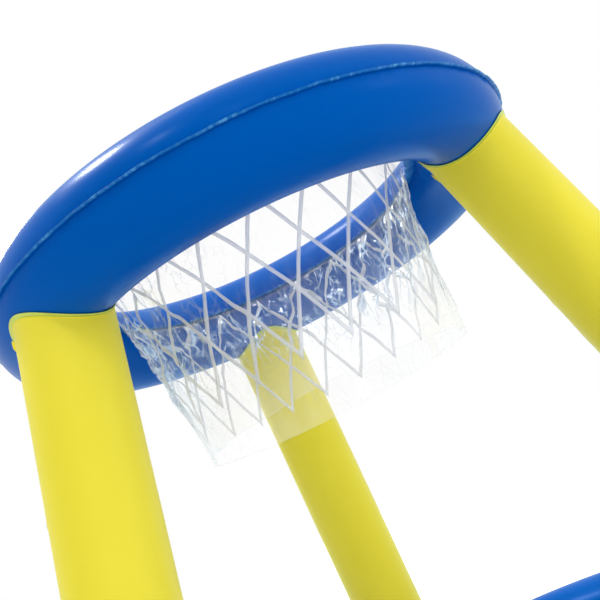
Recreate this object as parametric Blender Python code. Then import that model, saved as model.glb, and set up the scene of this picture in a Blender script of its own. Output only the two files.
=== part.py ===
"""A floating basketball hoop for the pool: an inflated hoop ring that carries a clear film net with a
diamond lattice, three splayed legs, and an inflated base ring. Each ring has a push-in air valve.

Lengths are in metres. The origin is on the floor at the centre, +Z is up, and the back leg is at +Y.
"""

import math
from collections import namedtuple

import bmesh
import bpy
from mathutils import Matrix, Vector

# The film and the clearance between touching pieces
FILM = 0.0004
CLEARANCE = 0.0003

# Rings: the radius of the tube's centreline, the tube's own radius, and the weld fins at its equator
HOOP_RADIUS = 0.196
HOOP_TUBE = 0.0404
HOOP_OUTER_FIN = 0.003
HOOP_INNER_FIN = 0.010
BASE_RADIUS = 0.286
BASE_TUBE = 0.0465
BASE_OUTER_FIN = 0.003
BASE_INNER_FIN = 0.003
RING_SPACING = 0.4636
RING_STEPS = 48
SHEET_STEPS = 7  # odd, so that a level facet lies at the very top and bottom

# Legs: three tubes between the rings
LEG_RADIUS = 0.0343
LEG_TOP_INSETS = {"back": -0.66, "front_left": 0.66, "front_right": 0.66}  # share of the room beside the leg
LEG_AZIMUTHS = {"back": 90, "front_left": 210, "front_right": 330}
LEG_SEAM_TURNS = {"back": 280, "front_left": 113, "front_right": 272}
LEG_STEPS = 28
LEG_FLARE_SHARE = 0.3  # of the room that the hoop ring's tube leaves beside the leg
LEG_FLARE_LENGTH = 0.0045
SEAM_WIDTH = 0.0010
SEAM_HEIGHT = 0.0013
SEAM_END_HEIGHT = 0.0003
SEAM_STARTS = {"back": 0.009, "front_left": 0.005, "front_right": 0.010}  # from the joint to the seam's tab
TAB_HEIGHT = 0.0030
TAB_LENGTH = 0.006
PORT_RADIUS = 0.012  # air port between a leg and a ring
PORT_STEPS = 16

# Weld collars between a leg and a ring
COLLAR_THICKNESS = 0.0008
COLLAR_LIP = 0.0026
COLLAR_INSET = 0.0030

# Net: an open skirt of clear film, and the lattice on it
NET_FILM = 0.0004
NET_DEPTH = 0.151
NET_STRIP = 0.008  # the part that is welded under the hoop ring's inner fin
NET_INSET = 0.0110  # how much narrower the net's body is than the fin that it hangs from
NET_TOP_FLARE = 0.0049  # how much wider the net is at the lattice's first crossings
NET_HEM_DRAWN_IN = (0.0150, 0.0043)  # how much nearer the hem hangs, across and deep
NET_DRIFT_TURN = 3.55  # degrees by which the lattice is drawn towards -X
FOLD_DEPTH = 0.0026
SIDE_FOLD_DEPTH = 0.0060
SIDE_FOLD_TURN = 15
FOLD_WAVES = ((7, 40, 1.0), (11, 110, 0.7))  # waves round the net, where they start, and their share
SIDE_FOLD_AZIMUTHS = (8, 187)
LATTICE_COLUMNS = 20
LATTICE_ROWS = 3
LATTICE_START_TURN = 266.1
LATTICE_TOP = 0.006
LAST_ROW_EXTRA = 0.0049  # how much deeper the lattice's last row is
BARE_HEM = 0.0246  # the film under the lattice's tips
STRAND_WIDTH = 0.0030
STRAND_THICKNESS = 0.0004
STRAND_CLEARANCE = 0.0003
CELLS_PER_COLUMN = 4

# Valves: a welded flange, a stem that pushes in flush, a plug on a strap, and a check flap
VALVE_TILT = 35  # degrees outwards from the tube's crown
HOOP_VALVE_AZIMUTH = 58
BASE_VALVE_AZIMUTH = 150
VALVE_STEPS = 24
VALVE_HOLE_RADIUS = 0.0097
FLANGE_RADIUS = 0.0150
FLANGE_THICKNESS = 0.0008
FLANGE_RIM_RADIUS = 0.0098
FLANGE_RIM_HEIGHT = 0.0018
STEM_RADIUS = 0.0070
STEM_BORE_RADIUS = 0.0050
STEM_DEPTH = 0.0110
STEM_LIP_RADIUS = 0.0090
STEM_LIP_THICKNESS = 0.0012
STEM_STOP_RADIUS = 0.0084
STEM_STOP_THICKNESS = 0.0016
EAR_REACH = 0.0140
EAR_WIDTH = 0.0050
STRAP_HINGE_REACH = 0.0145
STRAP_WIDTH = 0.0036
STRAP_THICKNESS = 0.0010
PLUG_CAP_RADIUS = 0.0075
PLUG_CAP_THICKNESS = 0.0014
PLUG_NECK_RADIUS = 0.0047
PLUG_TIP_RADIUS = 0.0036
PLUG_DEPTH = 0.0050
PULL_TAB_REACH = 0.0115
PULL_TAB_WIDTH = 0.0050
PULL_TAB_OVERLAP = 0.0020
FLAP_RADIUS = 0.0058
FLAP_THICKNESS = 0.0008
FLAP_TAIL_WIDTH = 0.0044

CUTTER_OVERRUN = 0.004

Ring = namedtuple("Ring", "radius tube height outer_fin inner_fin")


def level_facet_height(tube):
    """How far below the ring's middle plane the outer polygon's level facet lies."""
    start = math.asin((CLEARANCE / 2 + FILM) / tube)
    step = (math.pi - 2 * start) / SHEET_STEPS
    return tube * math.cos(step / 2)


BASE = Ring(BASE_RADIUS, BASE_TUBE, level_facet_height(BASE_TUBE), BASE_OUTER_FIN, BASE_INNER_FIN)
HOOP = Ring(HOOP_RADIUS, HOOP_TUBE, BASE.height + RING_SPACING, HOOP_OUTER_FIN, HOOP_INNER_FIN)
LEG_ROOM = HOOP.tube - LEG_RADIUS
LEG_FLARE = LEG_FLARE_SHARE * LEG_ROOM
FIN_EDGE = HOOP.radius - HOOP.tube - HOOP.inner_fin
NET_BODY_RADIUS = FIN_EDGE - NET_INSET
NET_TOP_RADIUS = NET_BODY_RADIUS + NET_TOP_FLARE
LATTICE_TIP = NET_DEPTH - BARE_HEM
LATTICE_ROW_DEPTH = (LATTICE_TIP - LATTICE_TOP - LAST_ROW_EXTRA) / LATTICE_ROWS


def clear_scene():
    for item in list(bpy.data.objects):
        bpy.data.objects.remove(item)


def material(name, colour, roughness, alpha=1.0):
    made = bpy.data.materials.new(name)
    made.use_nodes = True
    shader = made.node_tree.nodes["Principled BSDF"]
    shader.inputs["Base Color"].default_value = (*colour, 1.0)
    shader.inputs["Roughness"].default_value = roughness
    shader.inputs["Metallic"].default_value = 0.0
    shader.inputs["Alpha"].default_value = alpha
    return made


def finish_mesh(name, maker, surface, sharp=40):
    """An object made from a bmesh, with smooth shading and its faces turned outwards."""
    bmesh.ops.recalc_face_normals(maker, faces=maker.faces[:])
    if maker.calc_volume(signed=True) < 0:
        bmesh.ops.reverse_faces(maker, faces=maker.faces[:])
    mesh = bpy.data.meshes.new(name)
    maker.to_mesh(mesh)
    maker.free()
    mesh.materials.append(surface)
    mesh.shade_smooth()
    mesh.set_sharp_from_angle(angle=math.radians(sharp))
    item = bpy.data.objects.new(name, mesh)
    bpy.context.scene.collection.objects.link(item)
    return item


def bridged(name, loops, surface):
    """A closed body from loops of points of one count, each joined to the next and the last to the first."""
    maker = bmesh.new()
    rows = [[maker.verts.new(point) for point in loop] for loop in loops]
    for row, following in zip(rows, rows[1:] + rows[:1]):
        for i in range(len(row)):
            j = (i + 1) % len(row)
            maker.faces.new((row[i], row[j], following[j], following[i]))
    return finish_mesh(name, maker, surface)


def turned(name, profile, steps, surface):
    """A body of revolution about Z from a closed profile of (radius, height) points."""
    maker = bmesh.new()
    corners = [maker.verts.new((radius, 0, height)) for radius, height in profile]
    edges = [maker.edges.new((a, b)) for a, b in zip(corners, corners[1:] + corners[:1]) if
             not (a.co.x == 0 and b.co.x == 0)]
    bmesh.ops.spin(maker, geom=corners + edges, cent=(0, 0, 0), axis=(0, 0, 1),
                   angle=2 * math.pi, steps=steps, use_merge=True)
    bmesh.ops.remove_doubles(maker, verts=maker.verts[:], dist=FILM / 100)
    return finish_mesh(name, maker, surface)


def block(name, low, high, surface):
    """An upright box between two corners."""
    low, high = Vector(low), Vector(high)
    maker = bmesh.new()
    bmesh.ops.create_cube(maker, size=1)
    size = high - low
    bmesh.ops.scale(maker, vec=size, verts=maker.verts[:])
    bmesh.ops.translate(maker, vec=(low + high) / 2, verts=maker.verts[:])
    return finish_mesh(name, maker, surface)


def helper(item):
    """Marks a body that only cuts or joins another."""
    item.hide_render = True
    item.display_type = "WIRE"
    return item


def combine(item, other, operation):
    change = item.modifiers.new(f"{operation.lower()} {other.name}", "BOOLEAN")
    change.operation = operation
    change.solver = "EXACT"
    change.object = other


def solidify(item, thickness):
    change = item.modifiers.new("film thickness", "SOLIDIFY")
    change.thickness = thickness
    change.offset = 0
    change.use_even_offset = True
    change.use_rim = True


def nearest_on_ring(point, ring):
    """The point of the ring's centreline that is nearest to a point."""
    flat = Vector((point.x, point.y, 0)).normalized() * ring.radius
    return Vector((flat.x, flat.y, ring.height))


def seat(start, direction, ring, offset):
    """Where a line that leaves the inside of the ring's tube passes the surface, offset outwards."""
    inside, outside = 0.0, 3 * ring.tube
    for _ in range(48):
        middle = (inside + outside) / 2
        point = start + middle * direction
        if (point - nearest_on_ring(point, ring)).length < ring.tube + offset:
            inside = middle
        else:
            outside = middle
    return start + inside * direction


def onto_ring(point, ring, offset):
    """A nearby point moved onto the ring's surface, offset outwards."""
    centre = nearest_on_ring(point, ring)
    return centre + (point - centre).normalized() * (ring.tube + offset)


def sheet_profile(ring, side):
    """One welded half of a ring's tube, fins included, as (radius, height). Side is 1 above, -1 below."""
    low, high = CLEARANCE / 2, CLEARANCE / 2 + FILM

    def arc(radius, at):
        start = math.asin(at / radius)
        turns = [start + (math.pi - 2 * start) * i / SHEET_STEPS for i in range(SHEET_STEPS + 1)]
        return [(ring.radius + radius * math.cos(turn), radius * math.sin(turn)) for turn in turns]

    outer_end = ring.radius + ring.tube + ring.outer_fin
    inner_end = ring.radius - ring.tube - ring.inner_fin
    upper = [(outer_end, low), (outer_end, high), *arc(ring.tube, high)]
    lower = [(inner_end, high), (inner_end, low), *reversed(arc(ring.tube - FILM, low))]
    return [(radius, ring.height + side * height) for radius, height in upper + lower]


def collar_seat(ring):
    """The collar's offset from the tube: the clearance, and as much as its flat facets dip under the round."""
    facet = 2 * math.pi * LEG_RADIUS / LEG_STEPS
    width = COLLAR_INSET + COLLAR_LIP
    return CLEARANCE + (facet**2 + width**2) / (8 * ring.tube)


def leg_frame(name):
    """A leg's top and bottom points in the rings' middle planes, its direction and two cross axes."""
    turn = math.radians(LEG_AZIMUTHS[name])
    out = Vector((math.cos(turn), math.sin(turn), 0))
    top = out * (HOOP.radius - LEG_TOP_INSETS[name] * LEG_ROOM) + Vector((0, 0, HOOP.height))
    bottom = out * BASE.radius + Vector((0, 0, BASE.height))
    along = (bottom - top).normalized()
    side = Vector((0, 0, 1)).cross(out)
    return top, bottom, along, side, along.cross(side)


def leg_section(seam_turn, radius, seam_height):
    """One section of a leg as (turn, radius) pairs: a circle with the seam's fin standing on it."""
    half = math.degrees(SEAM_WIDTH / 2 / LEG_RADIUS)
    step = 360 / LEG_STEPS
    section = [(seam_turn + i * step, radius) for i in range(1, LEG_STEPS)]
    section += [(seam_turn - half, radius), (seam_turn - half, radius + seam_height)]
    section += [(seam_turn + half, radius + seam_height), (seam_turn + half, radius)]
    return section


def plain_section(seam_turn, radius):
    """The inner surface's section, with as many points as the outer one."""
    half = math.degrees(SEAM_WIDTH / 2 / LEG_RADIUS)
    step = 360 / LEG_STEPS
    turns = [seam_turn + i * step for i in range(1, LEG_STEPS)]
    turns += [seam_turn - half, seam_turn - half / 3, seam_turn + half / 3, seam_turn + half]
    return [(turn, radius) for turn in turns]


def leg(name, surface):
    """A leg's tube: its ends follow the rings' round surfaces, and its seam runs down one side."""
    top, bottom, along, side, cross = leg_frame(name)
    seam_turn, seam_start = LEG_SEAM_TURNS[name], SEAM_STARTS[name]
    lift = COLLAR_THICKNESS + CLEARANCE

    def loop(section, from_top, distance):
        points = []
        for turn, radius in section:
            angle = math.radians(turn)
            ray = radius * (math.cos(angle) * side + math.sin(angle) * cross)
            if from_top:
                points.append(seat(top + ray, along, HOOP, collar_seat(HOOP) + lift) + distance * along)
            else:
                points.append(seat(bottom + ray, -along, BASE, collar_seat(BASE) + lift) - distance * along)
        return points

    flared, plain = LEG_RADIUS + LEG_FLARE, LEG_RADIUS
    end, tab_end = SEAM_END_HEIGHT, seam_start + TAB_LENGTH
    outer = [
        loop(leg_section(seam_turn, flared, end), True, 0),
        loop(leg_section(seam_turn, plain, end), True, LEG_FLARE_LENGTH),
        loop(leg_section(seam_turn, plain, end), True, seam_start),
        loop(leg_section(seam_turn, plain, TAB_HEIGHT), True, seam_start + FILM),
        loop(leg_section(seam_turn, plain, TAB_HEIGHT), True, tab_end),
        loop(leg_section(seam_turn, plain, SEAM_HEIGHT), True, tab_end + TAB_HEIGHT - SEAM_HEIGHT),
        loop(leg_section(seam_turn, plain, SEAM_HEIGHT), False, seam_start),
        loop(leg_section(seam_turn, plain, end), False, LEG_FLARE_LENGTH),
        loop(leg_section(seam_turn, flared, end), False, 0),
    ]
    inner = [
        loop(plain_section(seam_turn, flared - FILM), False, 0),
        loop(plain_section(seam_turn, plain - FILM), False, LEG_FLARE_LENGTH),
        loop(plain_section(seam_turn, plain - FILM), True, LEG_FLARE_LENGTH),
        loop(plain_section(seam_turn, flared - FILM), True, 0),
    ]
    return bridged(f"leg_{name}", outer + inner, surface)


def collar(name, leg_name, ring, surface):
    """The saddle-shaped ring of film that welds a leg's end to a ring."""
    top, bottom, along, side, cross = leg_frame(leg_name)
    start, direction = (top, along) if ring is HOOP else (bottom, -along)
    foot = []
    for i in range(LEG_STEPS):
        angle = 2 * math.pi * i / LEG_STEPS
        ray = (LEG_RADIUS + LEG_FLARE) * (math.cos(angle) * side + math.sin(angle) * cross)
        foot.append(seat(start + ray, direction, ring, collar_seat(ring)))

    def edge(width, offset):
        points = []
        for i, point in enumerate(foot):
            run = (foot[(i + 1) % LEG_STEPS] - foot[i - 1]).normalized()
            normal = (point - nearest_on_ring(point, ring)).normalized()
            away = run.cross(normal)
            if away.dot(point - start) < 0:
                away = -away
            points.append(onto_ring(point + width * away, ring, offset))
        return points

    low = collar_seat(ring)
    high = low + COLLAR_THICKNESS
    loops = [edge(-COLLAR_INSET, low), edge(COLLAR_LIP, low), edge(COLLAR_LIP, high), edge(-COLLAR_INSET, high)]
    return bridged(name, loops, surface)


def net_azimuth(column):
    """The azimuth in radians of a place round the net, counted in lattice columns."""
    plain = math.radians(LATTICE_START_TURN + 360 * column / LATTICE_COLUMNS)
    return plain + math.radians(NET_DRIFT_TURN) * math.sin(plain)


def fold(azimuth, share):
    """How far the film's folds push it out at an azimuth. The share grows from 0 at the top to 1 at the hem."""
    waves = sum(part * math.cos(count * azimuth + math.radians(start)) for count, start, part in FOLD_WAVES)
    sides = 0.0
    for centre in SIDE_FOLD_AZIMUTHS:
        turn = math.degrees(azimuth) - centre
        away = (turn + 180) % 360 - 180
        sides += math.exp(-((away / SIDE_FOLD_TURN) ** 2))
    return share * (FOLD_DEPTH * waves - SIDE_FOLD_DEPTH * sides)


def net_point(column, depth, lift):
    """A point of the film's middle surface, by its column and its depth under the weld strip."""
    azimuth = net_azimuth(column)
    share = max(0.0, (depth - LATTICE_TOP) / (NET_DEPTH - LATTICE_TOP))
    if depth < LATTICE_TOP:
        across = deep = FIN_EDGE + (NET_TOP_RADIUS - FIN_EDGE) * depth / LATTICE_TOP
    else:
        narrowed = min(1.0, (depth - LATTICE_TOP) / LATTICE_ROW_DEPTH)
        body = NET_TOP_RADIUS - NET_TOP_FLARE * narrowed
        across = body - NET_HEM_DRAWN_IN[0] * share
        deep = body - NET_HEM_DRAWN_IN[1] * share
    out = fold(azimuth, share) + lift
    strip = CLEARANCE / 2 + FILM + CLEARANCE + NET_FILM / 2
    return Vector((
        (across + out) * math.cos(azimuth),
        (deep + out) * math.sin(azimuth),
        HOOP.height - strip - depth,
    ))


def lattice_depth(level):
    return LATTICE_TIP if level == LATTICE_ROWS else LATTICE_TOP + LATTICE_ROW_DEPTH * level


def lattice_lift():
    """How far outside the film the lattice lies, measured level, for its clearance to hold on the steepest slope."""
    slope = max(abs(FIN_EDGE - NET_TOP_RADIUS) / LATTICE_TOP, abs(NET_TOP_FLARE) / LATTICE_ROW_DEPTH)
    return ((NET_FILM + STRAND_THICKNESS) / 2 + STRAND_CLEARANCE) * math.hypot(1, slope)


def net_film(surface):
    """The open skirt: a flat strip under the hoop ring's inner fin, then the hanging film with its folds."""
    count = LATTICE_COLUMNS * CELLS_PER_COLUMN
    columns = [i / CELLS_PER_COLUMN for i in range(count)]
    strip_edge = FIN_EDGE + NET_STRIP
    strip = []
    for column in columns:
        inner_edge = net_point(column, 0, 0)
        widened = Vector((inner_edge.x, inner_edge.y, 0)).normalized() * strip_edge
        strip.append(Vector((widened.x, widened.y, inner_edge.z)))
    depths = [0, *(lattice_depth(level) for level in range(LATTICE_ROWS + 1)), NET_DEPTH]
    maker = bmesh.new()
    rows = [[maker.verts.new(point) for point in strip]]
    rows += [[maker.verts.new(net_point(column, depth, 0)) for column in columns] for depth in depths]
    for row, following in zip(rows, rows[1:]):
        for i in range(count):
            j = (i + 1) % count
            maker.faces.new((row[i], row[j], following[j], following[i]))
    item = finish_mesh("net_film", maker, surface)
    solidify(item, NET_FILM)
    return item


def net_lattice(surface):
    """The diamond lattice: strands that cross at each level, as one sheet that lies just outside the film.

    A crossing is a small diamond, parted along its level diagonal, where the film's slope changes. A strand
    leaves it at its lower side and reaches the next level's crossing, half a column on, at the upper side.
    """
    lift = lattice_lift()
    column_width = 2 * math.pi * NET_BODY_RADIUS / LATTICE_COLUMNS
    slant = math.atan2(column_width / 2, LATTICE_ROW_DEPTH)
    half_column = STRAND_WIDTH / 2 / math.cos(slant) / column_width
    half_depth = STRAND_WIDTH / 2 / math.sin(slant)
    maker = bmesh.new()

    def corner(column, depth):
        return maker.verts.new(net_point(column, depth, lift))

    crossings = {}
    for level in range(LATTICE_ROWS + 1):
        for i in range(LATTICE_COLUMNS):
            column, depth = i + level % 2 / 2, lattice_depth(level)
            places = {
                "up": (column, depth - half_depth),
                "right": (column + half_column, depth),
                "down": (column, depth + half_depth),
                "left": (column - half_column, depth),
            }
            crossings[level, i] = {key: (corner(*place), place) for key, place in places.items()}
            for keys in (("up", "right", "left"), ("right", "down", "left")):
                maker.faces.new([crossings[level, i][key][0] for key in keys])

    def strand(first, last, first_keys, last_keys, turns):
        """A strand of two faces between two crossings. Turns is the whole turns to add to the last one."""
        upper, lower = [], []
        for first_key, last_key, row in ((first_keys[0], last_keys[0], upper), (first_keys[1], last_keys[1], lower)):
            start, end = crossings[first][first_key], crossings[last][last_key]
            middle_column = (start[1][0] + end[1][0] + turns * LATTICE_COLUMNS) / 2
            middle = corner(middle_column, (start[1][1] + end[1][1]) / 2)
            row.extend((start[0], middle, end[0]))
        for k in range(2):
            maker.faces.new((upper[k], upper[k + 1], lower[k + 1], lower[k]))

    for level in range(LATTICE_ROWS):
        shift = level % 2
        for i in range(LATTICE_COLUMNS):
            ahead, behind = i + shift, i - 1 + shift
            strand((level, i), (level + 1, ahead % LATTICE_COLUMNS), ("right", "down"), ("up", "left"),
                   ahead // LATTICE_COLUMNS)
            strand((level, i), (level + 1, behind % LATTICE_COLUMNS), ("down", "left"), ("right", "up"),
                   behind // LATTICE_COLUMNS)
    item = finish_mesh("net_lattice", maker, surface)
    solidify(item, STRAND_THICKNESS)
    return item


def valve_place(ring, azimuth):
    """The matrix of a valve's seat: its origin is on the tube's surface, +Z points out, +X along the ring."""
    turn, tilt = math.radians(azimuth), math.radians(VALVE_TILT)
    out = Vector((math.cos(turn), math.sin(turn), 0))
    normal = out * math.sin(tilt) + Vector((0, 0, math.cos(tilt)))
    along = Vector((-math.sin(turn), math.cos(turn), 0))
    origin = out * ring.radius + Vector((0, 0, ring.height)) + normal * ring.tube
    place = Matrix((along, normal.cross(along), normal)).transposed().to_4x4()
    place.translation = origin
    return place


def valve_flange(name, ring, place, surface):
    """The welded disc. Its underside follows the tube, and its raised rim is level."""
    directions = [2 * math.pi * i / VALVE_STEPS for i in range(VALVE_STEPS)]
    back = place.inverted()
    inward = Vector((0, 0, -ring.tube))

    def on_tube(radius, offset):
        points = []
        for angle in directions:
            start = place @ (Vector((radius * math.cos(angle), radius * math.sin(angle), 0)) + inward)
            points.append(back @ seat(start, place.to_3x3() @ Vector((0, 0, 1)), ring, offset))
        return points

    def level(radius, height):
        return [Vector((radius * math.cos(angle), radius * math.sin(angle), height)) for angle in directions]

    bore = STEM_RADIUS + CLEARANCE
    rim_slope = FLANGE_RIM_HEIGHT - FLANGE_THICKNESS
    return bridged(name, [
        on_tube(bore, CLEARANCE),
        on_tube(FLANGE_RADIUS, CLEARANCE),
        on_tube(FLANGE_RADIUS, CLEARANCE + FLANGE_THICKNESS),
        on_tube(FLANGE_RIM_RADIUS + rim_slope, CLEARANCE + FLANGE_THICKNESS),
        level(FLANGE_RIM_RADIUS, FLANGE_RIM_HEIGHT),
        level(bore, FLANGE_RIM_HEIGHT),
    ], surface)


def valve(prefix, ring, azimuth, soft, clear):
    """The five pieces of an air valve, each parented to the seat's empty."""
    place = valve_place(ring, azimuth)
    seat_empty = bpy.data.objects.new(f"{prefix}_valve_seat", None)
    seat_empty.matrix_world = place
    bpy.context.scene.collection.objects.link(seat_empty)

    lip_low = FLANGE_RIM_HEIGHT + CLEARANCE
    lip_high = lip_low + STEM_LIP_THICKNESS
    cap_low = lip_high + CLEARANCE
    cap_high = cap_low + PLUG_CAP_THICKNESS
    flap_high = -STEM_DEPTH - CLEARANCE

    flange = valve_flange(f"{prefix}_valve_flange", ring, place, clear)
    stem = turned(f"{prefix}_valve_stem", [
        (STEM_BORE_RADIUS, lip_high),
        (STEM_LIP_RADIUS, lip_high),
        (STEM_LIP_RADIUS, lip_low),
        (STEM_RADIUS, lip_low),
        (STEM_RADIUS, -STEM_DEPTH + STEM_STOP_THICKNESS),
        (STEM_STOP_RADIUS, -STEM_DEPTH + STEM_STOP_THICKNESS),
        (STEM_STOP_RADIUS, -STEM_DEPTH),
        (STEM_BORE_RADIUS, -STEM_DEPTH),
    ], VALVE_STEPS, clear)
    ear = helper(block(f"{prefix}_valve_ear", (-EAR_REACH, -EAR_WIDTH / 2, lip_low),
                       ((STEM_BORE_RADIUS + STEM_LIP_RADIUS) / -2, EAR_WIDTH / 2, lip_high), clear))
    combine(stem, ear, "UNION")

    plug = turned(f"{prefix}_valve_plug", [
        (0, cap_high),
        (PLUG_CAP_RADIUS, cap_high),
        (PLUG_CAP_RADIUS, cap_low),
        (PLUG_NECK_RADIUS, cap_low),
        (PLUG_TIP_RADIUS, cap_low - PLUG_DEPTH),
        (0, cap_low - PLUG_DEPTH),
    ], VALVE_STEPS, soft)
    pull_tab = helper(block(f"{prefix}_valve_pull_tab",
                            (PLUG_CAP_RADIUS - PULL_TAB_OVERLAP, -PULL_TAB_WIDTH / 2, cap_low),
                            (PULL_TAB_REACH, PULL_TAB_WIDTH / 2, cap_high), soft))
    combine(plug, pull_tab, "UNION")

    strap_low = cap_low + (PLUG_CAP_THICKNESS - STRAP_THICKNESS) / 2
    strap = block(f"{prefix}_valve_strap", (-STRAP_HINGE_REACH, -STRAP_WIDTH / 2, strap_low),
                  (-PLUG_CAP_RADIUS - CLEARANCE, STRAP_WIDTH / 2, strap_low + STRAP_THICKNESS), soft)

    flap = turned(f"{prefix}_valve_flap", [
        (0, flap_high),
        (FLAP_RADIUS, flap_high),
        (FLAP_RADIUS, flap_high - FLAP_THICKNESS),
        (0, flap_high - FLAP_THICKNESS),
    ], VALVE_STEPS, soft)
    tail = helper(block(f"{prefix}_valve_tail", (STEM_BORE_RADIUS, -FLAP_TAIL_WIDTH / 2, flap_high - FLAP_THICKNESS),
                        (STEM_RADIUS, FLAP_TAIL_WIDTH / 2, flap_high), soft))
    combine(flap, tail, "UNION")

    for item in (flange, stem, ear, plug, pull_tab, strap, flap, tail):
        item.parent = seat_empty
    print_valve_joints(prefix, place, strap_low, flap_high)
    return place


def print_valve_joints(prefix, place, strap_low, flap_high):
    """Prints each joint's point and axis in world coordinates."""
    turn = place.to_3x3()
    across, out = turn @ Vector((0, 1, 0)), turn @ Vector((0, 0, 1))
    strap_hinge = place @ Vector((-STRAP_HINGE_REACH, 0, strap_low))
    flap_hinge = place @ Vector((STEM_RADIUS, 0, flap_high))
    for name, point, axis in (
        ("push", place.translation, out),
        ("plug", strap_hinge, -across),
        ("flap", flap_hinge, -across),
    ):
        print(prefix, name, [round(v, 6) for v in point], [round(v, 6) for v in axis])


def drill(name, start, end, radius, steps, surface):
    """A cutter along a line."""
    maker = bmesh.new()
    along = end - start
    bmesh.ops.create_cone(maker, cap_ends=True, segments=steps, radius1=radius, radius2=radius, depth=along.length)
    turn = along.to_track_quat("Z", "Y").to_matrix().to_4x4()
    bmesh.ops.transform(maker, matrix=Matrix.Translation((start + end) / 2) @ turn, verts=maker.verts[:])
    return helper(finish_mesh(name, maker, surface))


def build():
    clear_scene()
    blue = material("blue_film", (0.004, 0.075, 0.36), 0.22)
    yellow = material("yellow_film", (0.76, 0.68, 0.055), 0.38)
    clear = material("clear_film", (0.92, 0.94, 0.96), 0.12, alpha=0.25)
    grey = material("lattice_print", (0.62, 0.63, 0.65), 0.45)
    valve_clear = material("valve_plastic", (0.75, 0.80, 0.84), 0.30)
    valve_soft = material("plug_plastic", (0.82, 0.86, 0.90), 0.35)

    sheets = {}
    for prefix, ring in (("hoop", HOOP), ("base", BASE)):
        for half, side in (("top", 1), ("bottom", -1)):
            name = f"{prefix}_ring_{half}_sheet"
            sheets[prefix, half] = turned(name, sheet_profile(ring, side), RING_STEPS, blue)

    for name in LEG_AZIMUTHS:
        leg(name, yellow)
        collar(f"leg_{name}_top_collar", name, HOOP, yellow)
        collar(f"leg_{name}_base_collar", name, BASE, yellow)
        top, bottom, along, _, _ = leg_frame(name)
        port = drill(f"{name}_port", top + CUTTER_OVERRUN * along, bottom - CUTTER_OVERRUN * along,
                     PORT_RADIUS, PORT_STEPS, yellow)
        combine(sheets["hoop", "bottom"], port, "DIFFERENCE")
        combine(sheets["base", "top"], port, "DIFFERENCE")

    net_film(clear)
    net_lattice(grey)

    for prefix, ring, azimuth in (("hoop", HOOP, HOOP_VALVE_AZIMUTH), ("base", BASE, BASE_VALVE_AZIMUTH)):
        place = valve(prefix, ring, azimuth, valve_soft, valve_clear)
        out = place.to_3x3() @ Vector((0, 0, 1))
        middle = place.translation
        hole = drill(f"{prefix}_valve_hole", middle - CUTTER_OVERRUN * out, middle + CUTTER_OVERRUN * out,
                     VALVE_HOLE_RADIUS, VALVE_STEPS, blue)
        combine(sheets[prefix, "top"], hole, "DIFFERENCE")


build()
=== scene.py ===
"""A floating basketball hoop for the pool, dressed over its CAD frame.

Lengths are in metres. The origin is on the floor under the centre, +Z is up, and the back leg is at +Y.
"""

import math

import bmesh
import bpy
import numpy as np
from mathutils import Matrix, Vector


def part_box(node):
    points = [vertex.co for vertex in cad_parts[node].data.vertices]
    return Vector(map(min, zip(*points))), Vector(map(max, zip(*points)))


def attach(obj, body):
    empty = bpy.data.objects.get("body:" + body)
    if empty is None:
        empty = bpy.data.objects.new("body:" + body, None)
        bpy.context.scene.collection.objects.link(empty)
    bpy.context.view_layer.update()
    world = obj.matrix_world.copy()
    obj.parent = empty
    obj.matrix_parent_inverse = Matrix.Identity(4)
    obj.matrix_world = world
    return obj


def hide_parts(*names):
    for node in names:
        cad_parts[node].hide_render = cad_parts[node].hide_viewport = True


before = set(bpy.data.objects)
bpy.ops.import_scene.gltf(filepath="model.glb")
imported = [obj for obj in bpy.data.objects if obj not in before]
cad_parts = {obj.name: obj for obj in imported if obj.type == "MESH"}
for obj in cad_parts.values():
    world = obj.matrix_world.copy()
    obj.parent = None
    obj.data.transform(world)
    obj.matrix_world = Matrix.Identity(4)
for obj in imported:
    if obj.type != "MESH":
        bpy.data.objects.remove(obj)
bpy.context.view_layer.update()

# The CAD's own sizes, repeated for the finer pieces
FILM = 0.0004
CLEARANCE = 0.0003
RINGS = {
    "hoop": {"radius": 0.196, "tube": 0.0404, "outer_fin": 0.003, "inner_fin": 0.010, "steps": 900},
    "base": {"radius": 0.286, "tube": 0.0465, "outer_fin": 0.003, "inner_fin": 0.003, "steps": 720},
}
VALVE_AZIMUTHS = {"hoop": 58, "base": 150}
VALVE_TILT = 35  # outwards from the tube's crown
VALVE_HOLE_RADIUS = 0.0097
PORT_RADIUS = 0.012  # the air port between a leg and a ring
for prefix, ring in RINGS.items():
    ring["height"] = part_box(f"{prefix}_ring_top_sheet")[0].z - CLEARANCE / 2

LEG_RADIUS = 0.0343
LEGS = {  # azimuth, inset at the hoop, and the seam's turn and start
    "back": (90, -0.0040, 280, 0.009),
    "front_left": (210, 0.0040, 113, 0.005),
    "front_right": (330, 0.0040, 272, 0.010),
}
LEG_FLARE = 0.0018
LEG_FLARE_LENGTH = 0.0045
SEAM_WIDTH = 0.0010
SEAM_HEIGHT = 0.0013
SEAM_END_HEIGHT = 0.0003
TAB_HEIGHT = 0.0030
TAB_LENGTH = 0.006
COLLAR_SEAT = 0.0006  # the collar's offset from the tube
COLLAR_THICKNESS = 0.0008
COLLAR_LIP = 0.0020
COLLAR_INSET = 0.0030

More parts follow.
